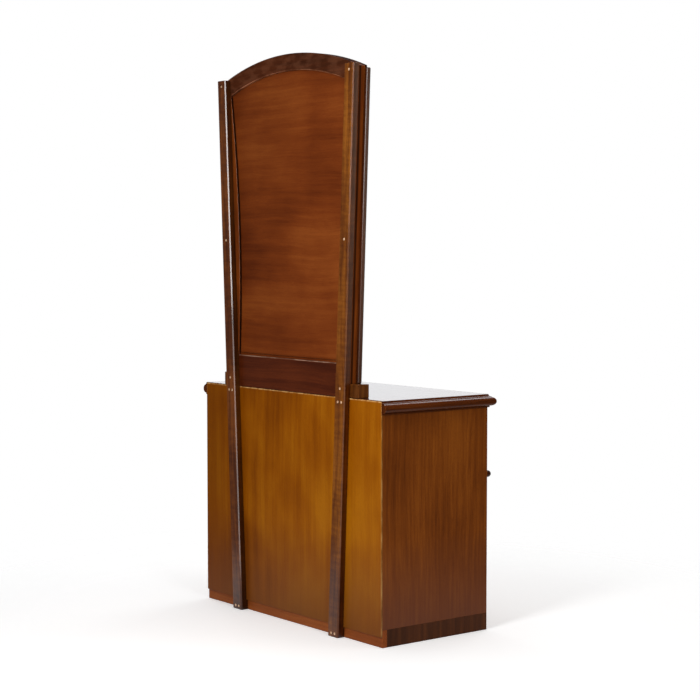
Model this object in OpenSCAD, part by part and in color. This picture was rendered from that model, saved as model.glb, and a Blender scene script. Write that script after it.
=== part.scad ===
// Salon styling station: a two-pedestal wooden cabinet with three drawers and two
// doors, and a tall arched mirror carried by two tapered posts screwed to its back.
// Front is -Y, back is +Y, left and right are as a client sitting in front sees them.

/* [Cabinet] */
// Width of the cabinet across its side panels
cab_w = 970; // [940:10:1000]
// Depth of the cabinet from its front edges to the plane behind its sides
cab_d = 430; // [410:10:450]
// Height of the table surface above the floor
table_h = 760; // [750:5:770]
// Thickness of the cabinet's boards
board_t = 16; // [15:1:18]
// Clear width inside each pedestal
pedestal_w = 280; // [260:5:290]
// Height of the plinth boards
plinth_h = 55; // [50:5:60]
// Height of the floor edge that the plywood back leaves showing
back_gap = 33; // [28:1:38]
// Thickness of the plywood back
back_t = 5; // [4:1:6]

/* [Table top] */
// Thickness of the top board
top_t = 25; // [22:1:28]
// How far the edge moulding stands out from the cabinet's sides and front
overhang = 21; // [18:1:24]
// Radius of the moulding's round nose
nose_r = 14; // [12:1:14]
// Radius of the cove above the nose
cove_r = 8; // [6:1:8]
// Width of the flat land beside the cove
land_w = 2; // [1:0.5:3]

/* [Drawers and doors] */
// Height of the pedestal drawer openings
drawer_h = 128; // [110:2:140]
// Height of the centre drawer's opening
centre_h = 90; // [80:2:100]
// Gap round every inset drawer front and door
gap = 2; // [1.5:0.5:2.5]
// Length of the drawer boxes behind their fronts
drawer_run = 370; // [340:5:375]
// Thickness of the drawer box boards
drawer_side_t = 12; // [10:1:13]
// Thickness of the doors
door_t = 18; // [16:1:20]
// Width of the door frame's stiles and rails
door_stile_w = 48; // [40:1:60]

/* [Knobs and hinges] */
// Diameter of a knob's ball
knob_d = 22; // [20:1:24]
// How far a knob stands out from the cabinet front
knob_reach = 39; // [36:1:42]
// Distance from the cabinet's outer side to a door knob's axis
knob_inset = 30; // [30:1:36]
// Height of the door knobs above the floor
knob_z = 499; // [450:1:520]
// Length of a door hinge
hinge_len = 60; // [50:1:70]
// Outer radius of a hinge's knuckles
knuckle_r = 3.5; // [3:0.25:4]
// Radius of a hinge pin
pin_r = 1.5; // [1:0.25:1.75]

/* [Mirror] */
// Height of the arch's crown above the floor
overall_h = 1850; // [1800:5:1880]
// Radius of the arch's outer curve
arch_r = 1065; // [1000:5:1150]
// Height of the arched rail at its crown
arch_rail_h = 54; // [48:1:60]
// Radius of the arch's inner curve
arch_in_r = 967; // [920:1:1000]
// Height of the frame's bottom rail
bottom_rail_h = 105; // [90:1:120]
// Thickness of the frame, front to back
frame_t = 23; // [21:1:26]
// How far the middle of each stile swells inwards
stile_swell = 24; // [10:1:30]
// Width of the lip that holds the glass from the front
lip_w = 8; // [6:1:10]
// Thickness of the mirror glass
glass_t = 5; // [3:1:5]
// Thickness of the plywood behind the glass
backing_t = 3; // [2.5:0.5:4]
// Depth of the step from the frame's back to that plywood
backing_step = 8; // [6:1:8]

/* [Posts] */
// Height of the two posts
post_h = 1790; // [1760:5:1795]
// Thickness of the posts, front to back
post_t = 22; // [20:1:28]
// Width of a post at the floor
post_foot_w = 50; // [46:1:54]
// Width of a post at its top
post_top_w = 44; // [40:1:46]
// Distance from the centre line to a post's outer edge at the floor
post_foot_x = 293; // [288:1:300]
// Distance from the centre line to a post's outer edge at its top
post_top_x = 375; // [365:1:385]
// Length of the screws that hold the posts
screw_len = 38; // [34:1:38]

/* [Hidden] */
$fn = 48;
LEFT = -1;
RIGHT = 1;

// Depth planes, from back to front
back_y = (cab_d + knob_reach - back_t - post_t) / 2;
front_y = back_y - cab_d;
post_back_y = back_y + back_t + post_t;
frame_back_y = back_y + back_t;
frame_front_y = frame_back_y - frame_t;

// Heights
carcass_top = table_h - top_t;
rail_t = 20;
open_top = carcass_top - rail_t;
divider_z = open_top - drawer_h - board_t;
centre_z = open_top - centre_h;
door_lo = plinth_h + board_t + gap;
door_hi = divider_z - gap;

// Widths, each measured from the centre line on one side
side_in = cab_w / 2 - board_t;
part_out = side_in - pedestal_w;
part_in = part_out - board_t;

// Plinth, and how far the plywood back stops short of the table surface
plinth_rail_t = 18;
toe_recess = 20;
back_drop = 2;

// Moulding profile: the nose's centre, and the bead below it
nose_drop = 9;
nose_x = overhang - nose_r;
nose_z = -nose_drop - nose_r;
bead_x = 5;
bead_h = 5;

// Drawers
drawer_front_t = 16;
slide_gap = 0.5;
side_drop = 8;
bottom_t = 4;
bottom_rise = 10;
groove = 6;
runner_w = 20;
runner_h = 12;

// Knobs, turned from one piece with a glued spigot
spigot_r = 4;
spigot_len = 12;
spigot_fit = 0.1;
neck_r = 5;
neck_z = 8;
base_r = 7;
base_h = 3;

// Doors
panel_t = 6;
panel_play = 0.5;

// Hinges: the axis stands just in front of the face, in the middle of the gap
knuckle_air = 0.5;
hinge_x = part_out + gap / 2;
hinge_y = front_y - knuckle_r - knuckle_air;
leaf_t = gap / 2;
leaf_reach = knuckle_r + knuckle_air + door_t;
pin_play = 0.05;
knuckle_play = 0.3;
hinge_inset = 60;
hinge_z = [door_lo + hinge_inset, door_hi - hinge_inset - hinge_len];

// Magnetic catches and their strike plates
catch_size = [40, 14, 12];
catch_x = side_in - 60;
strike_t = 1.2;
catch_air = 0.3;

// Post screws: heights of the single ones on the centre line, and of the pairs
top_screw_z = post_h - 20;
mid_screw_z = (post_h + table_h) / 2 - 23;
low_screw_z = table_h + 28;
upper_pair_z = table_h - 14;
lower_pair_z = 12;
screw_r = 2;
head_r = 4;
head_h = 2.6;
pilot_fit = 0.1;
pair_x = 9;
slot_w = 0.9;
slot_len = 4.6;
slot_deep = 1.1;

// Mirror frame
foot_x = 372;
foot_h = 43;
foot_depth = 42;
moulding_t = 16;
moulding_out = 11;
moulding_in = 9;
moulding_drop = 13;
moulding_top = post_h - moulding_drop;
arch_moulding_h = 20;
mitre_air = 0.5;
glass_play = 1;
backing_play = 0.5;
corner_drop = 50;
steps = 24;

CHESTNUT = [0.42, 0.20, 0.09];
HONEY = [0.66, 0.38, 0.12];
MAHOGANY = [0.36, 0.15, 0.07];
DARK = [0.20, 0.08, 0.05];
RED_WOOD = [0.55, 0.26, 0.15];
PALE_WOOD = [0.80, 0.66, 0.46];
BRASS = [0.80, 0.66, 0.36];
STEEL = [0.62, 0.62, 0.64];
SILVER = [0.80, 0.84, 0.86];

// ---------------------------------------------------------------- helpers

// A board between its lowest and highest corners
module board(lo, hi) {
    translate(lo) cube(hi - lo);
}

// A front-view outline made solid between two depths
module plate(outline, y_front, y_back) {
    translate([0, y_back, 0])
        rotate([90, 0, 0])
            linear_extrude(y_back - y_front) polygon(outline);
}

// Puts a piece drawn on the right-hand side on the side asked for
module sided(side) {
    mirror([side < 0 ? 1 : 0, 0, 0]) children();
}

// ---------------------------------------------------------------- outlines

// Outer and inner edge of the right-hand post at a height
function post_out(z) = post_foot_x + (post_top_x - post_foot_x) * z / post_h;
function post_width(z) = post_foot_w + (post_top_w - post_foot_w) * z / post_h;
function post_in(z) = post_out(z) - post_width(z);
function post_mid(z) = post_out(z) - post_width(z) / 2;

// Height of an arc with a given crown and radius
function arc_z(x, crown, r) = crown - r + sqrt(r * r - x * x);

// The frame's opening, drawn in by a distance: two swelling sides under an arc
open_lo = table_h + bottom_rail_h;
open_crown = overall_h - arch_rail_h;
open_hi = arc_z(post_in(post_h - corner_drop), open_crown, arch_in_r);
function corner_x(inset) = post_in(open_hi) - inset;
function corner_z(inset) = arc_z(corner_x(inset), open_crown - inset, arch_in_r);
function swell(z) =
    let (t = (z - open_lo) / (open_hi - open_lo)) 4 * stile_swell * t * (1 - t);
function opening(inset) = [
    for (side = [RIGHT, LEFT])
        for (i = [0 : steps])
            let (t = side > 0 ? i / steps : 1 - i / steps)
            let (z = open_lo + inset + t * (corner_z(inset) - open_lo - inset))
            [side * (post_in(z) - swell(z) - inset), z]
];
function crown_arc(inset) = [
    for (i = [1 : steps - 1])
        let (x = corner_x(inset) * (1 - 2 * i / steps))
        [x, arc_z(x, open_crown - inset, arch_in_r)]
];
function first(list, n) = [for (i = [0 : n - 1]) list[i]];
function rest(list, n) = [for (i = [n : len(list) - 1]) list[i]];
function opening_outline(inset) = concat(
    first(opening(inset), steps + 1),
    crown_arc(inset),
    rest(opening(inset), steps + 1)
);

// ---------------------------------------------------------------- cabinet

module rear_plinth_rail() {
    color(RED_WOOD)
        difference() {
            board([-cab_w / 2, back_y - plinth_rail_t, 0], [cab_w / 2, back_y, plinth_h]);
            screw_holes();
        }
}

// Outer, inner and front plinth boards under one pedestal
module plinth(side) {
    color(RED_WOOD)
        sided(side) {
            board([side_in, front_y, 0], [cab_w / 2, back_y - plinth_rail_t, plinth_h]);
            board([part_in, front_y + toe_recess, 0],
                  [part_out, back_y - plinth_rail_t, plinth_h]);
            board([part_out, front_y + toe_recess, 0],
                  [side_in, front_y + toe_recess + board_t, plinth_h]);
        }
}

module side_panel(side) {
    color(CHESTNUT)
        sided(side)
            board([side_in, front_y, plinth_h], [cab_w / 2, back_y, carcass_top]);
}

// Inner wall of a pedestal, notched at the top for the front rail
module partition(side) {
    color(CHESTNUT)
        sided(side)
            difference() {
                board([part_in, front_y, plinth_h], [part_out, back_y, carcass_top]);
                board([part_in - 1, front_y - 1, open_top],
                      [part_out + 1, front_y + rail_t, carcass_top + 1]);
            }
}

module pedestal_floor(side) {
    color(CHESTNUT)
        sided(side)
            board([part_out, front_y, plinth_h], [side_in, back_y, plinth_h + board_t]);
}

module divider(side) {
    color(CHESTNUT)
        sided(side)
            board([part_out, front_y, divider_z], [side_in, back_y, divider_z + board_t]);
}

module back_panel() {
    color(HONEY)
        difference() {
            board([-cab_w / 2, back_y, back_gap], [cab_w / 2, back_y + back_t, table_h - back_drop]);
            screw_holes();
        }
}

module front_top_rail() {
    color(CHESTNUT)
        board([-side_in, front_y, open_top], [side_in, front_y + rail_t, carcass_top]);
}

module centre_drawer_runners() {
    color(PALE_WOOD)
        for (side = [LEFT, RIGHT])
            sided(side)
                board([part_in - runner_w, front_y + rail_t, centre_z - runner_h],
                      [part_in, back_y, centre_z]);
}

module top_board() {
    color(CHESTNUT)
        difference() {
            board([-cab_w / 2, front_y, carcass_top], [cab_w / 2, back_y, table_h]);
            screw_holes();
        }
}

// The edge moulding's section, standing out to +X, between two depths
module moulding_bar(y_front, y_back) {
    core = [
        [0, 0], [land_w + cove_r, 0], [land_w + cove_r, nose_z],
        [nose_x, nose_z - nose_r], [bead_x, nose_z - nose_r],
        [bead_x, nose_z - nose_r - bead_h], [0, nose_z - nose_r - bead_h]
    ];
    difference() {
        union() {
            plate(core, y_front, y_back);
            translate([nose_x, y_back, nose_z])
                rotate([90, 0, 0]) cylinder(h = y_back - y_front, r = nose_r);
        }
        translate([land_w + cove_r, y_back + 1, 0])
            rotate([90, 0, 0]) cylinder(h = y_back - y_front + 2, r = cove_r);
        board([-2 * nose_r, y_front - 1, -table_h], [0, y_back + 1, 1]);
    }
}

// Cuts a moulding to a plan outline, for its mitres
module mitred(outline) {
    intersection() {
        children();
        translate([0, 0, carcass_top - table_h / 2]) linear_extrude(table_h) polygon(outline);
    }
}

module side_moulding(side) {
    reach = 2 * overhang;
    color(MAHOGANY)
        sided(side)
            mitred([
                [cab_w / 2, front_y],
                [cab_w / 2 + reach, front_y - reach],
                [cab_w / 2 + reach, frame_back_y],
                [cab_w / 2, frame_back_y]
            ])
                translate([cab_w / 2, 0, table_h])
                    moulding_bar(front_y - reach, frame_back_y);
}

module front_moulding() {
    reach = 2 * overhang;
    color(MAHOGANY)
        mitred([
            [-cab_w / 2, front_y],
            [-cab_w / 2 - reach, front_y - reach],
            [cab_w / 2 + reach, front_y - reach],
            [cab_w / 2, front_y]
        ])
            translate([0, front_y, table_h])
                rotate([0, 0, -90]) moulding_bar(-cab_w / 2 - reach, cab_w / 2 + reach);
}

// ---------------------------------------------------------------- drawers

// A drawer is described by its opening: [centre x, lower z, width, height]
left_open = [-(part_out + pedestal_w / 2), divider_z + board_t, pedestal_w, drawer_h];
right_open = [part_out + pedestal_w / 2, divider_z + board_t, pedestal_w, drawer_h];
centre_open = [0, centre_z, 2 * part_in, centre_h];

// The bottom panel's solid, which also cuts the grooves that hold it
module bottom_solid(open) {
    reach = open[2] / 2 - gap - drawer_side_t + groove;
    z = open[1] + slide_gap + bottom_rise;
    board([open[0] - reach, front_y + drawer_front_t - groove, z],
          [open[0] + reach, front_y + drawer_front_t + drawer_run, z + bottom_t]);
}

module drawer_front(open) {
    half = open[2] / 2 - gap;
    color(CHESTNUT)
        difference() {
            board([open[0] - half, front_y, open[1] + gap],
                  [open[0] + half, front_y + drawer_front_t, open[1] + open[3] - gap]);
            bottom_solid(open);
            knob_seat(drawer_knob_at(open));
        }
}

module drawer_sides(open) {
    outer = open[2] / 2 - gap;
    back = front_y + drawer_front_t + drawer_run;
    color(PALE_WOOD)
        difference() {
            for (x = [-outer, outer - drawer_side_t])
                board([open[0] + x, front_y + drawer_front_t, open[1] + slide_gap],
                      [open[0] + x + drawer_side_t, back, open[1] + open[3] - side_drop]);
            bottom_solid(open);
        }
}

module drawer_back(open) {
    half = open[2] / 2 - gap - drawer_side_t;
    back = front_y + drawer_front_t + drawer_run;
    color(PALE_WOOD)
        board([open[0] - half, back - drawer_side_t,
               open[1] + slide_gap + bottom_rise + bottom_t],
              [open[0] + half, back, open[1] + open[3] - side_drop]);
}

module drawer_bottom(open) {
    color(PALE_WOOD) bottom_solid(open);
}

// ---------------------------------------------------------------- knobs

function drawer_knob_at(open) = [open[0], open[1] + open[3] / 2];
function door_knob_at(side) = [side * (cab_w / 2 - knob_inset), knob_z];

// A ball knob on a waisted neck, its axis along -Y from the cabinet's face
module knob(at) {
    ball_r = knob_d / 2;
    ball_z = knob_reach - ball_r;
    waist = [[0, -spigot_len], [spigot_r, -spigot_len], [spigot_r, 0], [base_r, 0],
             [base_r, base_h], [neck_r, neck_z]];
    ball = [for (a = [-60 : 10 : 90]) [ball_r * cos(a), ball_z + ball_r * sin(a)]];
    color(DARK)
        translate([at[0], front_y, at[1]])
            rotate([90, 0, 0]) rotate_extrude() polygon(concat(waist, ball));
}

module knob_seat(at) {
    translate([at[0], front_y - 1, at[1]])
        rotate([-90, 0, 0])
            cylinder(h = spigot_len + spigot_fit + 1, r = spigot_r + spigot_fit);
}

// ---------------------------------------------------------------- doors

// The window inside a door frame, drawn out by a distance
module door_window(grow, y_front, y_back) {
    board([part_out + gap + door_stile_w - grow, y_front, door_lo + door_stile_w - grow],
          [side_in - gap - door_stile_w + grow, y_back, door_hi - door_stile_w + grow]);
}

module door_frame(side) {
    middle = front_y + door_t / 2;
    color(CHESTNUT)
        difference() {
            sided(side)
                difference() {
                    board([part_out + gap, front_y, door_lo],
                          [side_in - gap, front_y + door_t, door_hi]);
                    door_window(0, front_y - 1, front_y + door_t + 1);
                    door_window(groove + panel_play, middle - panel_t / 2,
                                middle + panel_t / 2);
                }
            knob_seat(door_knob_at(side));
        }
}

module door_panel(side) {
    middle = front_y + door_t / 2;
    color(HONEY)
        sided(side) door_window(groove, middle - panel_t / 2, middle + panel_t / 2);
}

// One leaf of a hinge at the origin: plate on one side of the axis, and its knuckles
module hinge_leaf(plate_x, knuckles, others) {
    difference() {
        union() {
            board([plate_x, 0, 0], [plate_x + leaf_t, leaf_reach, hinge_len]);
            for (k = knuckles)
                translate([0, 0, k[0]]) cylinder(h = k[1] - k[0], r = knuckle_r);
        }
        for (k = others)
            translate([0, 0, k[0] - knuckle_play])
                cylinder(h = k[1] - k[0] + 2 * knuckle_play, r = knuckle_r + knuckle_play);
        translate([0, 0, -1]) cylinder(h = hinge_len + 2, r = pin_r + pin_play);
    }
}

// The cabinet leaf has the two end knuckles and the door leaf has the middle one
end_knuckles = [[0, hinge_len / 3], [2 * hinge_len / 3, hinge_len]];
mid_knuckle = [[hinge_len / 3, 2 * hinge_len / 3]];

module at_hinges(side) {
    for (z = hinge_z)
        sided(side) translate([hinge_x, hinge_y, z]) children();
}

module door_hinge_leaves(side) {
    color(BRASS) at_hinges(side) hinge_leaf(0, mid_knuckle, end_knuckles);
}

module cabinet_hinge_leaves() {
    color(BRASS)
        for (side = [LEFT, RIGHT])
            at_hinges(side) hinge_leaf(-leaf_t, end_knuckles, mid_knuckle);
}

module hinge_pins() {
    color(BRASS)
        for (side = [LEFT, RIGHT])
            at_hinges(side) cylinder(h = hinge_len, r = pin_r);
}

module magnetic_catches() {
    y = front_y + door_t + strike_t + catch_air;
    color(DARK)
        for (side = [LEFT, RIGHT])
            sided(side)
                board([catch_x, y, divider_z - catch_size[2]],
                      [catch_x + catch_size[0], y + catch_size[1], divider_z]);
}

module door_strike(side) {
    y = front_y + door_t;
    color(STEEL)
        sided(side)
            board([catch_x + 2, y, divider_z - catch_size[2]],
                  [catch_x + catch_size[0] - 2, y + strike_t, door_hi]);
}

// ---------------------------------------------------------------- posts

module at_screws() {
    for (side = [LEFT, RIGHT]) {
        for (z = [top_screw_z, mid_screw_z, low_screw_z])
            translate([side * post_mid(z), post_back_y, z]) children();
        for (z = [upper_pair_z, lower_pair_z])
            for (dx = [-pair_x, pair_x])
                translate([side * post_mid(z) + dx, post_back_y, z]) children();
    }
}

// A countersunk screw's body pointing to -Y, drawn out by a clearance
module screw_body(fit) {
    rotate([90, 0, 0]) {
        translate([0, 0, -fit]) cylinder(h = head_h + fit, r1 = head_r + fit, r2 = screw_r + fit);
        cylinder(h = screw_len + fit, r = screw_r + fit);
    }
}

module screw_holes() {
    at_screws() screw_body(pilot_fit);
}

module post_screws() {
    color(BRASS)
        at_screws()
            difference() {
                screw_body(0);
                for (turn = [0, 90])
                    rotate([0, turn, 0])
                        board([-slot_len / 2, -slot_deep, -slot_w / 2],
                              [slot_len / 2, 1, slot_w / 2]);
            }
}

// A tapered post with a heel that reaches the plinth under the plywood back
module post(side) {
    heel_h = back_gap - 1;
    outline = [
        [post_in(0), 0], [post_out(0), 0],
        [post_out(post_h), post_h], [post_in(post_h), post_h]
    ];
    heel = [
        [post_in(0), 0], [post_out(0), 0],
        [post_out(heel_h), heel_h], [post_in(heel_h), heel_h]
    ];
    color(MAHOGANY)
        difference() {
            sided(side) {
                plate(outline, frame_back_y, post_back_y);
                plate(heel, back_y, frame_back_y + 1);
            }
            screw_holes();
        }
}

// ---------------------------------------------------------------- mirror

// A big disc about the arch's centre, thick enough to cut the frame and its moulding
module arch_disc(r) {
    thick = frame_t + moulding_t + 2;
    translate([0, frame_back_y + 1, overall_h - arch_r])
        rotate([90, 0, 0]) cylinder(h = thick, r = r, $fn = 360);
}

// Takes the sight opening and the rebate for glass and backing out of a frame piece
module rebated() {
    rebate_y = frame_back_y - backing_step - backing_t - glass_t;
    difference() {
        children();
        plate(opening_outline(lip_w), frame_front_y - 1, frame_back_y + 1);
        plate(opening_outline(0), rebate_y, frame_back_y + 1);
    }
}

// Heights where the swelling part of a stile meets the rails
joint_lo = open_lo + lip_w;
joint_hi = corner_z(lip_w);

module stile(side) {
    spare = stile_swell + 2 * lip_w;
    outline = [
        [post_out(table_h), table_h], [post_out(overall_h), overall_h],
        [post_in(overall_h), overall_h], [post_in(joint_hi), joint_hi],
        [post_in(joint_hi) - spare, joint_hi], [post_in(joint_lo) - spare, joint_lo],
        [post_in(joint_lo), joint_lo], [post_in(table_h), table_h]
    ];
    color(MAHOGANY)
        difference() {
            rebated()
                intersection() {
                    sided(side) plate(outline, frame_front_y, frame_back_y);
                    arch_disc(arch_r);
                }
            screw_holes();
        }
}

// The part of the frame between the two stiles from one height to another
module between_stiles(z_lo, z_hi) {
    outline = [
        [post_in(z_lo), z_lo], [post_in(z_hi), z_hi],
        [-post_in(z_hi), z_hi], [-post_in(z_lo), z_lo]
    ];
    plate(outline, frame_front_y, frame_back_y);
}

module bottom_rail() {
    color(RED_WOOD) rebated() between_stiles(table_h, joint_lo);
}

module arched_rail() {
    color(DARK)
        rebated()
            intersection() {
                between_stiles(joint_hi, overall_h + 1);
                arch_disc(arch_r);
            }
}

// The block beside each stile's foot, which wraps round to its front
module foot_block(side) {
    top = table_h + foot_h;
    beside = [
        [post_out(table_h), table_h], [foot_x, table_h],
        [foot_x, top], [post_out(top), top]
    ];
    before = [
        [post_out(table_h) - moulding_in, table_h], [foot_x, table_h],
        [foot_x, top], [post_out(top) - moulding_in, top]
    ];
    color(MAHOGANY)
        sided(side) {
            plate(beside, frame_front_y - 1, frame_back_y);
            plate(before, frame_back_y - foot_depth, frame_front_y);
        }
}

module frame_moulding(side) {
    foot = table_h + foot_h;
    outline = [
        [post_out(foot) - moulding_in, foot], [post_out(foot) + moulding_out, foot],
        [post_out(moulding_top) + moulding_out, moulding_top],
        [post_out(moulding_top) - moulding_in, moulding_top]
    ];
    color(DARK)
        sided(side) plate(outline, frame_front_y - moulding_t, frame_front_y);
}

// The moulding on the front of the arch, between the two side mouldings
module arched_moulding() {
    end_x = post_out(moulding_top) - moulding_in - mitre_air;
    band_lo = moulding_top - 2 * arch_moulding_h;
    band = [[-end_x, band_lo], [-end_x, overall_h], [end_x, overall_h], [end_x, band_lo]];
    color(DARK)
        difference() {
            intersection() {
                plate(band, frame_front_y - moulding_t, frame_front_y);
                arch_disc(arch_r);
            }
            arch_disc(arch_r - arch_moulding_h);
        }
}

module mirror_glass() {
    y = frame_back_y - backing_step - backing_t;
    color(SILVER) plate(opening_outline(glass_play), y - glass_t, y);
}

module backing_panel() {
    y = frame_back_y - backing_step;
    color(RED_WOOD) plate(opening_outline(backing_play), y - backing_t, y);
}

// ---------------------------------------------------------------- assembly

rear_plinth_rail();
plinth(LEFT);  // left_plinth
plinth(RIGHT);  // right_plinth
side_panel(LEFT);  // left_side
side_panel(RIGHT);  // right_side
partition(LEFT);  // left_partition
partition(RIGHT);  // right_partition
pedestal_floor(LEFT);  // left_floor
pedestal_floor(RIGHT);  // right_floor
divider(LEFT);  // left_divider
divider(RIGHT);  // right_divider
back_panel();
front_top_rail();
centre_drawer_runners();
top_board();
side_moulding(LEFT);  // left_moulding
side_moulding(RIGHT);  // right_moulding
front_moulding();
drawer_front(left_open);  // left_drawer_front
drawer_sides(left_open);  // left_drawer_sides
drawer_back(left_open);  // left_drawer_back
drawer_bottom(left_open);  // left_drawer_bottom
knob(drawer_knob_at(left_open));  // left_drawer_knob
drawer_front(centre_open);  // centre_drawer_front
drawer_sides(centre_open);  // centre_drawer_sides
drawer_back(centre_open);  // centre_drawer_back
drawer_bottom(centre_open);  // centre_drawer_bottom
knob(drawer_knob_at(centre_open));  // centre_drawer_knob
drawer_front(right_open);  // right_drawer_front
drawer_sides(right_open);  // right_drawer_sides
drawer_back(right_open);  // right_drawer_back
drawer_bottom(right_open);  // right_drawer_bottom
knob(drawer_knob_at(right_open));  // right_drawer_knob
door_frame(LEFT);  // left_door_frame
door_panel(LEFT);  // left_door_panel
knob(door_knob_at(LEFT));  // left_door_knob
door_hinge_leaves(LEFT);  // left_door_hinge_leaves
door_strike(LEFT);  // left_door_strike
door_frame(RIGHT);  // right_door_frame
door_panel(RIGHT);  // right_door_panel
knob(door_knob_at(RIGHT));  // right_door_knob
door_hinge_leaves(RIGHT);  // right_door_hinge_leaves
door_strike(RIGHT);  // right_door_strike
cabinet_hinge_leaves();
hinge_pins();
magnetic_catches();
post(LEFT);  // left_post
post(RIGHT);  // right_post
post_screws();
stile(LEFT);  // left_stile
stile(RIGHT);  // right_stile
bottom_rail();
arched_rail();
foot_block(LEFT);  // left_foot_block
foot_block(RIGHT);  // right_foot_block
frame_moulding(LEFT);  // left_frame_moulding
frame_moulding(RIGHT);  // right_frame_moulding
arched_moulding();
mirror_glass();
backing_panel();
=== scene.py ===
import math

import bpy
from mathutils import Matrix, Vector
from mathutils.kdtree import KDTree


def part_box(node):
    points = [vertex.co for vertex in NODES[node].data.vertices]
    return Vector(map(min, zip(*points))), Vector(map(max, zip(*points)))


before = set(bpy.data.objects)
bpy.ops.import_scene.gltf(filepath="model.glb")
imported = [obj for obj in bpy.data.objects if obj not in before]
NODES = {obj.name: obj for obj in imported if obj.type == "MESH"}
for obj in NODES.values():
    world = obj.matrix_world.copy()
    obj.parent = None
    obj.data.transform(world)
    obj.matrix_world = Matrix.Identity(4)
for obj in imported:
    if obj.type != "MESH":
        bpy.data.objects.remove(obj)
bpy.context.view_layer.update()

# The looks of the salon styling station: its lights, its procedural materials, and the rounding of
# the CAD nodes' arrises. Front is -Y and up is +Z. Left is -X, the side that the photo shows.

# The camera: where it stands in metres, its heading and how far it looks down in degrees, and
# the length of its lens in mm
CAMERA_AT = (-4.496, 3.460, 1.213)
CAMERA_YAW = 232.185
CAMERA_PITCH = 3.301
CAMERA_LENS = 87.56

# How far each post leans outwards from the vertical, in radians: 82 mm in 1790 mm
LEAN = math.atan2(0.082, 1.790)

# Grain directions, as the turn that brings the grain onto Z
UPRIGHT = (0, 0, 0)
LEFT_UPRIGHT = (0, LEAN, 0)
RIGHT_UPRIGHT = (0, -LEAN, 0)
ACROSS = (0, math.pi / 2, 0)
DEEP = (math.pi / 2, 0, 0)

# The directions that a face looks in
TO_LEFT = (-1, 0, 0)
TO_RIGHT = (1, 0, 0)
UP = (0, 0, 1)
DOWN = (0, 0, -1)


def srgb(red, green, blue):
    """A display colour, 0 to 255, as the linear colour that a shader takes."""
    def linear(c):
        c = c / 255
        return c / 12.92 if c <= 0.04045 else ((c + 0.055) / 1.055) ** 2.4
    return (linear(red), linear(green), linear(blue), 1)


def grey(level):
    """A grey, 0 to 1, as a linear colour."""
    return (level, level, level, 1)


def scaled(colour, factor, lift=0.0):
    """A linear colour made darker or lighter, at most white."""
    return tuple(min(1, c * factor + lift) for c in colour[:3]) + (1,)


# ------------------------------------------------------------------ camera and lights

def make_camera():
    data = bpy.data.cameras.new("camera")
    data.lens = CAMERA_LENS
    camera = bpy.data.objects.new("camera", data)
    bpy.context.scene.collection.objects.link(camera)
    camera.location = CAMERA_AT
    camera.rotation_euler = (math.radians(90 - CAMERA_PITCH), 0, math.radians(CAMERA_YAW))
    bpy.context.scene.camera = camera


def area_light(name, at, target, size, watts, colour=(1, 1, 1), diffuse=True, glossy=True,
               lit=None, unlit=None):
    """An area light. lit names the only pieces that it lights, unlit those that it doesn't."""
    data = bpy.data.lights.new(name, "AREA")
    data.shape = "RECTANGLE"
    data.size, data.size_y = size
    data.energy = watts
    data.color = colour
    light = bpy.data.objects.new(name, data)
    bpy.context.scene.collection.objects.link(light)
    light.location = at
    light.rotation_euler = (Vector(target) - Vector(at)).to_track_quat("-Z", "Y").to_euler()
    light.visible_camera = False
    light.visible_diffuse = diffuse
    light.visible_glossy = glossy
    if lit or unlit:
        pieces = bpy.data.collections.new(name + "_pieces")
        for piece in lit or unlit:
            pieces.objects.link(NODES[piece])
        for link in pieces.collection_objects:
            link.light_linking.link_state = "INCLUDE" if lit else "EXCLUDE"
        light.light_linking.receiver_collection = pieces


def make_strips():
    """Tall narrow lights behind the object, which are the long highlights on the posts.

    A post's rear arris is a narrow flat face, and a strip shows in it only from one place, so
    each post has strips of its own: one for its upper half and one for its lower half.
    """
    right = ["right_post", "right_stile", "arched_rail", "bottom_rail", "backing_panel"]
    left = ["left_post", "left_frame_moulding"]
    behind_right = (-1.65, 3.1)
    behind_left = (-2.55, 3.1)
    high, low = 1.95, 0.25
    area_light("strip_far", at=(*behind_right, high), target=(0.3, 0.25, 1.6),
               size=(0.3, 1.6), watts=22, lit=right)
    area_light("strip_near", at=(*behind_left, high), target=(-0.35, 0.25, 1.6),
               size=(0.5, 1.6), watts=18, diffuse=False, lit=left)
    area_light("strip_near_low", at=(*behind_left, low), target=(-0.35, 0.25, 0.4),
               size=(0.5, 1.8), watts=5, colour=(1, 0.9, 0.8), diffuse=False, lit=left)
    area_light("strip_low", at=(*behind_right, low), target=(0.3, 0.25, 0.4),
               size=(0.3, 1.7), watts=6, diffuse=False, lit=["right_post"])


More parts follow.
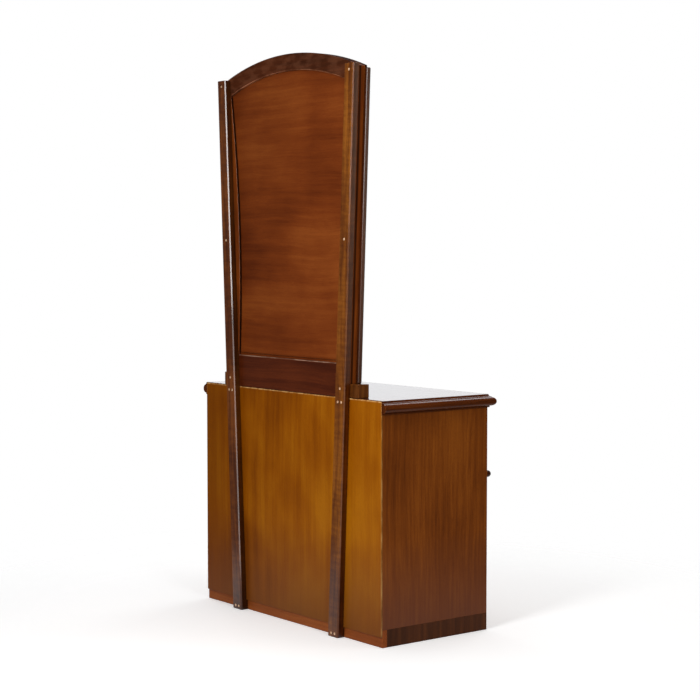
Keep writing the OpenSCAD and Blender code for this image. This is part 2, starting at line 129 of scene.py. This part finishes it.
def make_lights():
    """Soft lights. One that isn't glossy doesn't show in lacquer."""
    area_light("main", at=(-0.95, 1.8, 1.5), target=(-0.3, 0.2, 1.05), size=(0.5, 1.8),
               watts=26, glossy=False)
    make_strips()

    # The left side, and a warm reflection on the left post and its moulding
    beside = dict(at=(-2.9, -1.9, 1.6), target=(-0.4, 0.2, 1.3), size=(1.6, 2.0))
    area_light("side_fill", **beside, watts=13, colour=(1, 0.87, 0.75), glossy=False)
    area_light("side_sheen", **beside, watts=66, colour=(1, 0.76, 0.56), diffuse=False,
               lit=["left_post", "left_frame_moulding"])
    area_light("side_key", at=(-3.7, 0.9, 2.1), target=(-0.4, 0, 0.8), size=(1.0, 1.2),
               watts=26, glossy=False)

    # What the top and its edge moulding reflect
    area_light("backdrop", at=(4.6, -3.6, 2.0), target=(0, 0, 1.5), size=(5.0, 4.0), watts=62,
               colour=(0.97, 0.98, 1), unlit=["mirror_glass"])
    area_light("top_card", at=(1.2, -2.35, 3.1), target=(-0.5, 0, 0.75), size=(2.5, 1.5),
               watts=50, colour=(0.95, 0.95, 1), diffuse=False,
               lit=["left_moulding", "right_moulding", "front_moulding", "top_board"])

    # The sides that the photo doesn't show
    area_light("front_fill", at=(1.2, -4.2, 1.7), target=(0.2, 0, 0.7), size=(2.4, 2.0),
               watts=60, glossy=False)
    area_light("right_fill", at=(3.2, -0.3, 1.5), target=(0.4, 0, 1.0), size=(1.6, 2.2),
               watts=26, glossy=False)
    area_light("overhead", at=(0, 0, 4.2), target=(0, 0, 0), size=(4.0, 4.0), watts=50,
               unlit=["mirror_glass"])


# How bright the surroundings are where they are seen, and where they only light the object
SEEN_STRENGTH = 1.0
LIGHTING_STRENGTH = 0.08


def make_world():
    """White to the camera and in the mirror, dim elsewhere, so that lacquer isn't milky."""
    world = bpy.data.worlds.new("studio")
    world.use_nodes = True
    tree = world.node_tree
    tree.nodes.clear()
    seen = tree.nodes.new("ShaderNodeBackground")
    seen.inputs["Color"].default_value = (1, 1, 1, 1)
    seen.inputs["Strength"].default_value = SEEN_STRENGTH
    lighting = tree.nodes.new("ShaderNodeBackground")
    lighting.inputs["Color"].default_value = (0.96, 0.98, 1, 1)
    lighting.inputs["Strength"].default_value = LIGHTING_STRENGTH
    path = tree.nodes.new("ShaderNodeLightPath")
    sharp = tree.nodes.new("ShaderNodeMath")
    sharp.operation = "MAXIMUM"
    mix = tree.nodes.new("ShaderNodeMixShader")
    out = tree.nodes.new("ShaderNodeOutputWorld")
    tree.links.new(path.outputs["Is Camera Ray"], sharp.inputs[0])
    tree.links.new(path.outputs["Is Singular Ray"], sharp.inputs[1])
    tree.links.new(sharp.outputs[0], mix.inputs[0])
    tree.links.new(lighting.outputs[0], mix.inputs[1])
    tree.links.new(seen.outputs[0], mix.inputs[2])
    tree.links.new(mix.outputs[0], out.inputs[0])
    bpy.context.scene.world = world


# ------------------------------------------------------------------ shader tools

class Shader:
    """A material under construction: it adds nodes and joins them."""

    # Nearly all of a noise's values lie between these two
    NOISE_LOW, NOISE_HIGH = 0.3, 0.7

    def __init__(self, name):
        self.material = bpy.data.materials.new(name)
        self.material.use_nodes = True
        self.tree = self.material.node_tree
        self.tree.nodes.clear()
        coordinates = self.add("ShaderNodeTexCoord")
        self.place = coordinates.outputs["Object"]
        self.normal = coordinates.outputs["Normal"]

    def add(self, kind, sockets=None, **settings):
        node = self.tree.nodes.new(kind)
        for key, value in settings.items():
            setattr(node, key, value)
        for key, value in (sockets or {}).items():
            if isinstance(value, bpy.types.NodeSocket):
                self.tree.links.new(value, node.inputs[key])
            else:
                node.inputs[key].default_value = value
        return node

    def math(self, operation, a, b=0.0):
        return self.add("ShaderNodeMath", {0: a, 1: b}, operation=operation).outputs[0]

    def vector(self, operation, a, b, output="Vector"):
        node = self.add("ShaderNodeVectorMath", {0: a, 1: b}, operation=operation)
        return node.outputs[output]

    def facing(self, direction):
        """How squarely the surface looks in a direction, from -1 to 1."""
        return self.vector("DOT_PRODUCT", self.normal, direction, "Value")

    def axis(self, number):
        """The place's X, Y or Z, for number 0, 1 or 2."""
        return self.add("ShaderNodeSeparateXYZ", {0: self.place}).outputs[number]

    def remap(self, value, low, high, to_low=0.0, to_high=1.0):
        return self.add("ShaderNodeMapRange",
                        {0: value, 1: low, 2: high, 3: to_low, 4: to_high}).outputs[0]

    def spread(self, noise, to_low, to_high):
        """A noise's values, spread from one number to another."""
        return self.remap(noise, self.NOISE_LOW, self.NOISE_HIGH, to_low, to_high)

    def mix(self, factor, a, b, blend="MIX"):
        node = self.add("ShaderNodeMix", {0: factor, 6: a, 7: b}, data_type="RGBA",
                        blend_type=blend)
        return node.outputs[2]

    def noise(self, vector, size, detail=2.0, rough=0.5):
        """Noise whose features measure size = (x, y, z) metres."""
        scale = tuple(1 / s for s in size)
        stretched = self.add("ShaderNodeMapping", {"Vector": vector, "Scale": scale})
        return self.add("ShaderNodeTexNoise", {
            "Vector": stretched.outputs[0], "Scale": 1.0, "Detail": detail, "Roughness": rough,
        }).outputs[0]

    def ramp(self, value, stops):
        node = self.add("ShaderNodeValToRGB", {0: value})
        elements = node.color_ramp.elements
        while len(elements) < len(stops):
            elements.new(0.5)
        for element, (at, colour) in zip(elements, stops):
            element.position = at
            element.color = colour
        return node.outputs[0]

    def bump(self, strength, distance, height):
        return self.add("ShaderNodeBump", {"Strength": strength, "Distance": distance,
                                           "Height": height}).outputs[0]

    def principled(self, **sockets):
        names = {key.replace("_", " ").title().replace("Ior", "IOR"): value
                 for key, value in sockets.items()}
        shader = self.add("ShaderNodeBsdfPrincipled", names)
        self.add("ShaderNodeOutputMaterial", {"Surface": shader.outputs[0]})
        return self.material


# ------------------------------------------------------------------ floor

# The floor's width, how far it lies below the feet, and the distances from the object between
# which it fades, in metres
FLOOR_WIDTH = 14
FLOOR_DROP = 0.0005
FADE_FROM, FADE_TO = 0.7, 1.9


def make_floor():
    """A pale floor that fades into the white surroundings away from the object."""
    s = Shader("pale_floor")
    radius = s.add("ShaderNodeVectorMath", {0: s.place}, operation="LENGTH").outputs["Value"]
    fade = s.add("ShaderNodeMapRange", {0: radius, 1: FADE_FROM, 2: FADE_TO, 3: 0.0, 4: 1.0},
                 interpolation_type="SMOOTHSTEP").outputs[0]
    cloud = s.noise(s.place, size=(1.4, 1.4, 1.4), detail=3)
    seen = s.mix(cloud, grey(0.95), grey(0.98))
    dim = s.mix(cloud, grey(0.42), grey(0.46))
    camera_ray = s.add("ShaderNodeLightPath").outputs["Is Camera Ray"]
    pale = s.add("ShaderNodeBsdfDiffuse", {"Color": s.mix(camera_ray, dim, seen)})
    lift = s.add("ShaderNodeEmission", {"Color": (1, 1, 1, 1), "Strength": 0.3})
    bright = s.add("ShaderNodeAddShader", {0: pale.outputs[0], 1: lift.outputs[0]})
    clear = s.add("ShaderNodeBsdfTransparent")
    both = s.add("ShaderNodeMixShader", {0: fade, 1: bright.outputs[0], 2: clear.outputs[0]})
    s.add("ShaderNodeOutputMaterial", {"Surface": both.outputs[0]})
    bpy.ops.mesh.primitive_plane_add(size=FLOOR_WIDTH, location=(0, 0, -FLOOR_DROP))
    floor = bpy.context.object
    floor.name = "floor"
    floor.data.materials.append(s.material)


# ------------------------------------------------------------------ wood

# Length of the broad streaks, and width and length of the narrow ones, in widths of a broad one
BROAD_LENGTH = 28
NARROW_WIDTH = 1 / 5
NARROW_LENGTH = 9

# Sizes of what else shows in wood, in metres: two across the grain and one along it
FIBRE = (0.0011, 0.0011, 0.050)
VESSEL = (0.00045, 0.00045, 0.011)
FIGURE = (0.045, 0.045, 0.011)
STAIN_CLOUD = (0.26, 0.26, 0.38)
WORN_PATCH = (0.02, 0.02, 0.05)

# The grain's drift: how often it wanders, per metre, and how far, in metres
DRIFT_SCALE = 1.6
DRIFT = (0.05, 0.05, 0.0)

# How far apart in a texture two pieces with neighbouring numbers lie, in metres
NEXT_PIECE = (0.73, 1.37, 2.11)

# Width of the wear on an arris and of the painted shade in a corner, in metres
WORN_WIDTH = 0.0035
CORNER_WIDTH = 0.006

# Where a layer begins and where it is full, in metres: the low colour's height above the floor,
# a dark end's and the rubbed edges' distances from a panel's outline, and the painted shadow's
# from a joint
LOW_COLOUR_HEIGHT = (0.33, 0.02)
DARK_END = (0.165, 0.045)
RUBBED_SIDE = (0.0035, 0.0010)
RUBBED_TOP = (0.0045, 0.0015)
SEAM_SHADOW = (0.0055, 0.003)

# The colour of bare plywood along a panel's rubbed edge
BARE_PLY = srgb(236, 184, 116)


def seeded(s):
    """Object coordinates moved by the piece's own number, so that no two boards match."""
    seed = s.add("ShaderNodeAttribute", attribute_type="OBJECT", attribute_name="grain_seed")
    shift = s.add("ShaderNodeCombineXYZ", {
        axis: s.math("MULTIPLY", seed.outputs["Fac"], step)
        for axis, step in enumerate(NEXT_PIECE)
    })
    return s.vector("ADD", s.place, shift.outputs[0])


def arris_mask(s):
    """1 on an arris and 0 on a flat face."""
    rounded = s.add("ShaderNodeBevel", {"Radius": WORN_WIDTH}, samples=4).outputs[0]
    flat = s.add("ShaderNodeNewGeometry").outputs["Normal"]
    return s.remap(s.vector("DOT_PRODUCT", rounded, flat, "Value"), 0.995, 0.90)


def side_tint_and_painted_shade(s, colour, tint, direction, both_ways):
    """The colour, times a tint on the faces that look in a direction, or also against it.

    On the posts and stiles the tint is painted shade on their sides; on the plywood it darkens
    its side edges.
    """
    turned = s.facing(direction)
    if both_ways:
        turned = s.math("ABSOLUTE", turned)
    return s.mix(s.remap(turned, 0.6, 0.9), colour, s.mix(1.0, colour, tint, "MULTIPLY"))


def painted_arris_highlight(s, colour, patchy, highlight_colour, direction):
    """The colour, with a painted highlight in another colour along the arrises that look in a
    direction, patchy along them.
    """
    line = s.math("MULTIPLY", s.remap(s.facing(direction), 0.25, 0.6, 0.0, 0.9), patchy)
    return s.mix(line, colour, highlight_colour)


def darker_towards_floor(s, colour, uneven, low_colour):
    """The colour, turning into another colour towards the floor, unevenly."""
    low = s.remap(s.axis(2), *LOW_COLOUR_HEIGHT, 0.0, 0.85)
    return s.mix(s.math("MULTIPLY", low, s.spread(uneven, 0.7, 1.0)), colour, low_colour)


def rubbed_sheet(s, colour, patchy, dark, box):
    """The colour of a panel, darker at its +X end and rubbed bare along its sides and top."""
    (x_low, _, _), (x_high, _, z_high) = box
    from_left = s.math("SUBTRACT", s.axis(0), x_low)
    from_right = s.math("SUBTRACT", x_high, s.axis(0))
    from_top = s.math("SUBTRACT", z_high, s.axis(2))
    colour = s.mix(s.remap(from_right, *DARK_END, 0.0, 0.5), colour, dark)
    from_side = s.math("MINIMUM", from_left, from_right)
    line = s.math("MAXIMUM", s.remap(from_side, *RUBBED_SIDE, 0.0, 0.4),
                  s.remap(from_top, *RUBBED_TOP))
    return s.mix(s.math("MULTIPLY", line, patchy), colour, BARE_PLY)


def painted_seam_shadow(s, colour, painted_shade_colour, direction, depth):
    """The colour, with a painted shadow beside the joint at y = depth, on faces that look one way.
    """
    beside = s.math("ABSOLUTE", s.math("SUBTRACT", s.axis(1), depth))
    line = s.math("MULTIPLY", s.remap(s.facing(direction), 0.5, 0.8),
                  s.remap(beside, *SEAM_SHADOW, 0.0, 0.85))
    return s.mix(line, colour, painted_shade_colour)


def wood(name, tones, turn=UPRIGHT, streak=0.030, contrast=1.0, ripple=0.0, cloud=0.25,
         pore=0.35, roughness=0.38, shine=0.1, coat=0.05, coat_roughness=0.14, wear=0.35,
         edge=None, shade=None, low_colour=None, sheet=None, seam_shadow=None):
    """Lacquered wood whose grain runs along Z after the turn.

    tones are its dark, middle and light colour. streak is the width of the broad streaks in
    metres and contrast their strength. ripple is the strength of the cross-grain figure, cloud
    of the uneven colouring, pore of the vessel lines and wear of the lighter arrises. The last
    five arguments add layers, in order: a painted highlight along arrises, a tint on sides that
    is painted shade on the posts and stiles, a colour that gathers towards the floor, a panel
    darker at its +X end and rubbed bare along its sides and top, and a painted shadow beside a
    joint.
    """
    dark, middle, light = tones
    s = Shader(name)
    board = s.add("ShaderNodeMapping", {"Vector": seeded(s), "Rotation": turn}).outputs[0]
    wander = s.add("ShaderNodeTexNoise", {"Vector": board, "Scale": DRIFT_SCALE, "Detail": 2.0})
    wander = s.vector("SUBTRACT", wander.outputs["Color"], (0.5, 0.5, 0.5))
    grain = s.vector("ADD", board, s.vector("MULTIPLY", wander, DRIFT))

    fine = streak * NARROW_WIDTH
    broad = s.noise(grain, (streak, streak, streak * BROAD_LENGTH), detail=3, rough=0.55)
    narrow = s.noise(grain, (fine, fine, streak * NARROW_LENGTH), detail=3, rough=0.6)
    fibre = s.noise(grain, FIBRE, rough=0.6)
    vessel = s.noise(grain, VESSEL, detail=1)
    uneven = s.noise(board, STAIN_CLOUD, detail=3)
    figure = s.noise(board, FIGURE, rough=0.55)
    patchy = s.remap(s.noise(board, WORN_PATCH, detail=3), 0.42, 0.62, 0.25, 1.0)

    tone = s.spread(uneven, 0.5 - cloud, 0.5 + cloud)
    for pattern, strength in [(broad, 0.30 * contrast), (narrow, 0.16 * contrast),
                              (fibre, 0.10), (figure, ripple)]:
        tone = s.math("ADD", tone, s.spread(pattern, -strength, strength))
    colour = s.ramp(tone, [(0.0, dark), (0.5, middle), (1.0, light)])
    pores = s.remap(vessel, 0.56, 0.70, 0.0, pore)
    colour = s.mix(pores, colour, scaled(dark, 0.35))

    arris = arris_mask(s)
    worn = s.math("MULTIPLY", s.math("MULTIPLY", arris, patchy), wear)
    colour = s.mix(worn, colour, scaled(light, 1.9, lift=0.01))
    # The colour of painted shade, for the shadow beside a joint and the shade in corners
    painted_shade_colour = scaled(dark, 0.12)
    if shade:
        colour = side_tint_and_painted_shade(s, colour, *shade)
    if edge:
        colour = painted_arris_highlight(s, colour, patchy, *edge)
    if low_colour:
        colour = darker_towards_floor(s, colour, uneven, low_colour)
    if sheet:
        colour = rubbed_sheet(s, colour, patchy, dark, sheet)
    if seam_shadow:
        colour = painted_seam_shadow(s, colour, painted_shade_colour, *seam_shadow)
    # Painted shade: darker in corners and creases, by how enclosed they are
    open_air = s.add("ShaderNodeAmbientOcclusion", {"Distance": CORNER_WIDTH}, samples=4)
    colour = s.mix(s.remap(open_air.outputs["AO"], 0.92, 0.40, 0.0, 0.5), colour, painted_shade_colour)

    gloss = s.math("ADD", s.spread(narrow, roughness - 0.04, roughness + 0.04),
                   s.remap(pores, 0.0, 0.5, 0.0, 0.18))
    relief = s.math("SUBTRACT", s.math("MULTIPLY", fibre, 0.35), pores)
    bump = s.bump(s.remap(arris, 0.0, 0.6, 0.25, 0.04), 0.0004, relief)
    return s.principled(base_color=colour, roughness=gloss, normal=bump,
                        specular_ior_level=shine, coat_weight=coat,
                        coat_roughness=coat_roughness)


# ------------------------------------------------------------------ other materials

def metal(name, bright, dull, roughness, metallic=1.0):
    """Drawn or stamped metal with fine scratches and dull patches of tarnish."""
    s = Shader(name)
    tarnish = s.noise(s.place, size=(0.006, 0.006, 0.006), detail=4, rough=0.6)
    scratch = s.noise(s.place, size=(0.0002, 0.0002, 0.006))
    colour = s.ramp(tarnish, [(0.35, dull), (0.65, bright)])
    gloss = s.math("ADD", s.spread(tarnish, roughness + 0.18, roughness),
                   s.remap(scratch, 0.4, 0.7, 0.0, 0.12))
    bump = s.bump(0.2, 0.0001, scratch)
    return s.principled(base_color=colour, roughness=gloss, metallic=metallic, normal=bump)


def mirror(name):
    """Silvered glass, faintly wavy and a little clouded where it has been wiped."""
    s = Shader(name)
    wiped = s.noise(s.place, size=(0.35, 0.35, 0.09), detail=4, rough=0.6)
    colour = s.ramp(wiped, [(0.3, srgb(228, 234, 233)), (0.7, srgb(237, 241, 241))])
    wave = s.noise(s.place, size=(0.5, 0.5, 0.7), detail=1)
    bump = s.bump(0.1, 0.0005, wave)
    return s.principled(base_color=colour, roughness=0.0, metallic=1.0, normal=bump)


def plastic(name):
    """Dark moulded plastic with a fine grit."""
    s = Shader(name)
    grit = s.noise(s.place, size=(0.0007, 0.0007, 0.0007))
    colour = s.ramp(grit, [(0.3, srgb(36, 28, 24)), (0.7, srgb(58, 47, 41))])
    bump = s.bump(0.3, 0.0001, grit)
    return s.principled(base_color=colour, roughness=s.spread(grit, 0.45, 0.6), normal=bump)


# ------------------------------------------------------------------ finishes

# The dark, middle and light tone of each wood
HONEY = (srgb(128, 62, 0), srgb(160, 86, 2), srgb(184, 110, 10))
CHESTNUT = (srgb(96, 45, 12), srgb(130, 66, 18), srgb(160, 88, 26))
PLINTH = (srgb(56, 27, 8), srgb(76, 38, 14), srgb(94, 50, 20))
RED_BASE = (srgb(116, 54, 20), srgb(146, 74, 30), srgb(170, 94, 42))
LACQUER = (srgb(66, 32, 18), srgb(92, 46, 26), srgb(116, 62, 34))
SHAPED = (srgb(58, 22, 4), srgb(92, 41, 7), srgb(124, 61, 16))
MAHOGANY = (srgb(78, 34, 8), srgb(118, 62, 14), srgb(158, 92, 26))
# The right post's mahogany: a darker copy, as painted shade for the post further from the lights
MAHOGANY_IN_PAINTED_SHADE = (srgb(61, 25, 7), srgb(92, 44, 12), srgb(128, 68, 21))
STILE = (srgb(82, 33, 8), srgb(118, 55, 14), srgb(148, 75, 22))
BLOCK = (srgb(72, 36, 10), srgb(104, 56, 18), srgb(132, 78, 28))
RED_RAIL = (srgb(52, 16, 3), srgb(75, 28, 8), srgb(96, 41, 15))
DARK = (srgb(45, 18, 7), srgb(68, 30, 13), srgb(86, 41, 20))
BACKING = (srgb(90, 36, 9), srgb(119, 54, 17), srgb(142, 73, 27))
PALE = (srgb(176, 140, 92), srgb(204, 172, 122), srgb(222, 196, 150))


def woods():
    """What wood() takes for each material of wood."""
    post = dict(streak=0.014, ripple=0.14, cloud=0.4)
    stile = dict(tones=STILE, streak=0.014)
    moulding = dict(tones=SHAPED, coat_roughness=0.07)
    front = dict(tones=CHESTNUT, streak=0.018, roughness=0.3, coat=0.5)
    drawer = dict(tones=PALE, streak=0.012, roughness=0.6, coat=0.0, wear=0.1)
    frame_moulding = dict(tones=DARK, roughness=0.28)
    joint = (TO_LEFT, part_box("left_post")[0].y)
    return {
        "honey_plywood": dict(
            tones=HONEY, contrast=0.6, cloud=0.5, pore=0.25, roughness=0.42,
            shade=(grey(0.45), TO_RIGHT, True), low_colour=srgb(110, 60, 20),
            sheet=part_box("back_panel")),
        "chestnut_veneer": dict(tones=CHESTNUT, streak=0.011, contrast=0.7,
                                low_colour=srgb(98, 58, 44)),
        "plinth_veneer": dict(tones=PLINTH, streak=0.016),
        "chestnut_board": dict(tones=CHESTNUT, turn=DEEP, roughness=0.5, coat=0.1),
        "chestnut_front": dict(front),
        "chestnut_drawer": dict(front, turn=ACROSS),
        "red_base": dict(tones=RED_BASE, turn=ACROSS, roughness=0.55),
        "dark_lacquer_top": dict(tones=LACQUER, turn=ACROSS, roughness=0.25, coat=1.0,
                                 coat_roughness=0.12, pore=0.2),
        "moulding_front": dict(moulding, turn=ACROSS, roughness=0.2, coat=0.4),
        "moulding_side": dict(moulding, turn=DEEP, roughness=0.24, shine=0.08, coat=0.3),
        # Painted shade on the posts: their sides are tinted darker, the right post wears a darker
        # copy of the mahogany, and the left post has a painted shadow beside its joint with the
        # stile
        "mahogany_left": dict(
            post, tones=MAHOGANY, turn=LEFT_UPRIGHT, coat=0.8, coat_roughness=0.13, wear=0.2,
            shade=((0.33, 0.23, 0.2, 1), TO_RIGHT, True), seam_shadow=joint),
        "mahogany_right": dict(
            post, tones=MAHOGANY_IN_PAINTED_SHADE, turn=RIGHT_UPRIGHT, coat=1.0, coat_roughness=0.1,
            wear=0.15, shade=(grey(0.3), TO_RIGHT, True)),
        # Painted shade: the stiles' sides inside the opening are tinted nearly black
        "stile_left": dict(stile, turn=LEFT_UPRIGHT, coat=0.1,
                           shade=(grey(0.06), TO_RIGHT, False), seam_shadow=joint),
        "stile_right": dict(stile, turn=RIGHT_UPRIGHT, coat=0.6,
                            shade=(grey(0.06), TO_LEFT, False)),
        "foot_block": dict(tones=BLOCK, streak=0.014, coat=0.4),
        # Painted highlights along rounded arrises: the top of the bottom rail and the underside of
        # the arch
        "red_rail": dict(tones=RED_RAIL, turn=ACROSS, roughness=0.36, coat=0.4,
                         edge=(srgb(190, 150, 126), UP)),
        "dark_rail": dict(tones=DARK, turn=ACROSS, roughness=0.5, shine=0.02, coat=0.0,
                          edge=(srgb(180, 116, 84), (0, 0.3, -1))),
        "dark_left": dict(frame_moulding, turn=LEFT_UPRIGHT, coat=1.0),
        "dark_right": dict(frame_moulding, turn=RIGHT_UPRIGHT, coat=0.6),
        "backing_plywood": dict(tones=BACKING, turn=ACROSS, streak=0.022, contrast=0.6,
                                cloud=0.4, pore=0.3, roughness=0.4, coat=0.1),
        "turned_knob": dict(tones=DARK, turn=DEEP, streak=0.006, roughness=0.22, coat=0.8,
                            wear=0.15),
        "pale_drawer": dict(drawer, turn=DEEP),
        "pale_drawer_back": dict(drawer, turn=ACROSS),
    }


def make_materials():
    """Every material, by its name."""
    made = {name: wood(name, **look) for name, look in woods().items()}
    made["brass"] = metal("brass", srgb(226, 196, 130), srgb(168, 132, 76), roughness=0.28)
    # Pale brass for the screws, nearly white so that it also acts as a painted glint
    made["worn_brass"] = metal("worn_brass", srgb(255, 226, 190), srgb(236, 190, 146),
                               roughness=0.42, metallic=0.15)
    made["steel"] = metal("steel", srgb(200, 200, 204), srgb(140, 140, 146), roughness=0.3)
    made["mirror_glass"] = mirror("mirror_glass")
    made["catch_plastic"] = plastic("catch_plastic")
    return made


# The nodes that wear each material, by how their names end
FINISHES = {
    "honey_plywood": ("back_panel",),
    "chestnut_veneer": ("_side", "_partition"),
    "plinth_veneer": ("_plinth",),
    "chestnut_board": ("_floor", "_divider"),
    "chestnut_front": ("_door_frame", "_door_panel"),
    "chestnut_drawer": ("_drawer_front", "front_top_rail"),
    "red_base": ("rear_plinth_rail",),
    "dark_lacquer_top": ("top_board",),
    "moulding_front": ("front_moulding",),
    "moulding_side": ("left_moulding", "right_moulding"),
    "mahogany_left": ("left_post",),
    "mahogany_right": ("right_post",),
    "stile_left": ("left_stile",),
    "stile_right": ("right_stile",),
    "foot_block": ("_foot_block",),
    "red_rail": ("bottom_rail",),
    "dark_rail": ("arched_rail", "arched_moulding"),
    "dark_left": ("left_frame_moulding",),
    "dark_right": ("right_frame_moulding",),
    "backing_plywood": ("backing_panel",),
    "turned_knob": ("_knob",),
    "pale_drawer": ("_drawer_sides", "_drawer_bottom", "_runners"),
    "pale_drawer_back": ("_drawer_back",),
    "brass": ("_hinge_leaves", "hinge_pins"),
    "worn_brass": ("post_screws",),
    "steel": ("_strike",),
    "mirror_glass": ("mirror_glass",),
    "catch_plastic": ("magnetic_catches",),
}


def by_ending(name, table):
    """The key of a table whose endings fit a name, or None."""
    return next((key for key, endings in table.items() if name.endswith(endings)), None)


def dress(materials):
    for number, name in enumerate(sorted(NODES)):
        piece = NODES[name]
        piece["grain_seed"] = float(number)
        piece.data.materials.clear()
        piece.data.materials.append(materials[by_ending(name, FINISHES)])


# ------------------------------------------------------------------ rounded arrises

# Radius of the plain pieces' arrises in metres, with the ends of the nodes' names
ARRISES = {
    0.0004: ("left_moulding", "right_moulding", "front_moulding"),
    0.0005: ("_partition", "_floor", "_divider"),
    0.0006: ("_plinth", "arched_moulding", "_drawer_sides", "_drawer_back", "_runners"),
    0.0008: ("_side", "top_board"),
    0.001: ("rear_plinth_rail", "front_top_rail", "_door_frame"),
    0.0012: ("back_panel", "_door_panel"),
    0.0015: ("_drawer_front",),
    0.0025: ("_foot_block",),
}

# Profiles of an arris
ROUND, SOFT, FLAT = 0.5, 0.4, 0.25

# Two faces form an arris if the cosine between their normals is below this
ARRIS_COSINE = 0.8

# Angles at which faces merge into one, and at which shading breaks
COPLANAR = math.radians(0.4)
SHARP = math.radians(60)

# Distances in metres: for points that are welded, for one that counts as on a screw's hole, and
# for an edge that counts as on the rear face
WELD_WITHIN = 0.00001
ON_SCREW_WITHIN = 0.0006
REAR_FACE_WITHIN = 0.001


def screw_test():
    """A function that says whether a point lies on a screw's hole."""
    points = [vertex.co for vertex in NODES["post_screws"].data.vertices]
    tree = KDTree(len(points))
    for index, point in enumerate(points):
        tree.insert(point, index)
    tree.balance()
    return lambda point: tree.find(point)[2] < ON_SCREW_WITHIN


def mark_arrises(mesh, share, skip):
    """Gives the sharp outward edges the weight by which a bevel rounds them."""
    def place(index):
        return tuple(round(c, 5) for c in mesh.vertices[index].co)

    faces = {}
    for face in mesh.polygons:
        for a, b in face.edge_keys:
            faces.setdefault(frozenset((place(a), place(b))), []).append(face)
    weights = mesh.attributes.new("bevel_weight_edge", "FLOAT", "EDGE")
    for edge in mesh.edges:
        a, b = (mesh.vertices[index].co for index in edge.vertices)
        meet = faces.get(frozenset(map(place, edge.vertices)), [])
        if len(meet) != 2 or skip(a) or skip(b):
            continue
        one, other = meet
        outward = (other.center - one.center).dot(one.normal) < 0
        if outward and one.normal.dot(other.normal) < ARRIS_COSINE:
            normal = (one.normal + other.normal).normalized()
            weights.data[edge.index].value = share((a + b) / 2, normal)


def full_share(middle, normal):
    """Every arris takes the whole radius."""
    return 1.0


def round_arrises(name, radius, skip, segments=3, profile=ROUND, share=full_share):
    """Rounds a node's sharp outward edges with modifiers.

    share(middle, normal) is the part of the radius, 0 to 1, that an edge takes. skip(point)
    names the points whose edges stay sharp.
    """
    piece = NODES[name]
    piece.data.shade_smooth()
    piece.data.update()
    mark_arrises(piece.data, share, skip)

    weld = piece.modifiers.new("weld", "WELD")
    weld.merge_threshold = WELD_WITHIN
    flat = piece.modifiers.new("flat_faces", "DECIMATE")
    flat.decimate_type = "DISSOLVE"
    flat.angle_limit = COPLANAR
    bevel = piece.modifiers.new("arrises", "BEVEL")
    bevel.limit_method = "WEIGHT"
    bevel.width = radius
    bevel.segments = segments
    bevel.profile = profile
    bevel.use_clamp_overlap = False
    bevel.miter_outer = "MITER_ARC"
    corners = piece.modifiers.new("sharp_corners", "EDGE_SPLIT")
    corners.split_angle = SHARP
    corners.use_edge_sharp = False
    smooth = piece.modifiers.new("shading", "WEIGHTED_NORMAL")
    smooth.keep_sharp = True


def round_posts(skip):
    """Each post's rear arris at -X is a wide flat chamfer, and its others are slight."""
    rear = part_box("left_post")[1].y - REAR_FACE_WITHIN

    def share(middle, normal):
        if middle.y < rear:
            return 0.25
        return 1.0 if normal.x < 0 else 0.3

    for name in ("left_post", "right_post"):
        round_arrises(name, 0.0045, skip, 6, FLAT, share)


def round_frame(skip):
    """The mirror frame is rounded at the rear around its opening, and nearly sharp elsewhere."""
    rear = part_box("bottom_rail")[1].y - REAR_FACE_WITHIN

    def share_towards(opening):
        def share(middle, normal):
            return 1.0 if middle.y > rear and normal.dot(Vector(opening)) > 0.5 else 0.12
        return share

    for name, radius, segments, profile, opening in [
        ("left_stile", 0.003, 4, ROUND, TO_RIGHT), ("right_stile", 0.003, 4, SOFT, TO_LEFT),
        ("bottom_rail", 0.005, 5, ROUND, UP), ("arched_rail", 0.002, 4, SOFT, DOWN),
    ]:
        round_arrises(name, radius, skip, segments, profile, share_towards(opening))
    for name in ("left_frame_moulding", "right_frame_moulding"):
        round_arrises(name, 0.003, skip, 4, FLAT)


def round_everything():
    on_screw = screw_test()
    round_posts(on_screw)
    round_frame(on_screw)
    for name in sorted(NODES):
        radius = by_ending(name, ARRISES)
        if radius:
            round_arrises(name, radius, on_screw)


make_camera()
make_lights()
make_world()
make_floor()
dress(make_materials())
round_everything()
bpy.context.scene.view_settings.view_transform = "Standard"
